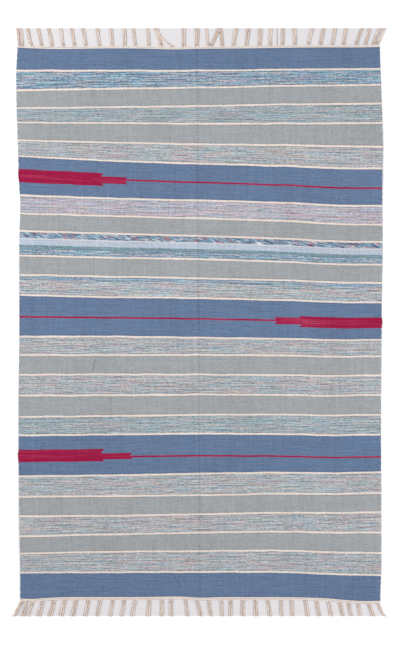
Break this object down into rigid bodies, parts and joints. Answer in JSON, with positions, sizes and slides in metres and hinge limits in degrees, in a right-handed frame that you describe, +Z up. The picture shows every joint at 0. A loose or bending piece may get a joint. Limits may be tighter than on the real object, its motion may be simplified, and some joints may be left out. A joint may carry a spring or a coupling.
{
  "type": "kilim rug",
  "caption": "Flat-woven cotton rug with cross stripes, a narrow cream heading and a knotted fringe at both ends, lying flat.",
  "frame": {"origin": "on the floor under the middle of the whole rug's plan, fringes included", "axes": "+Y along the warp towards the picture's upper end, +X along the weft to the picture's right, +Z up out of the rug's face"},
  "size_m": [1.2384, 1.943, 0.007],
  "materials": {
    "woven_cotton": "matt flat weave with stripes across",
    "fringe_cotton": "matt undyed cotton yarn"
  },
  "bodies": {
    "root": {"rug_cloth": "woven_cotton", "fringe_top": "fringe_cotton", "fringe_bottom": "fringe_cotton"}
  },
  "joints": []
}
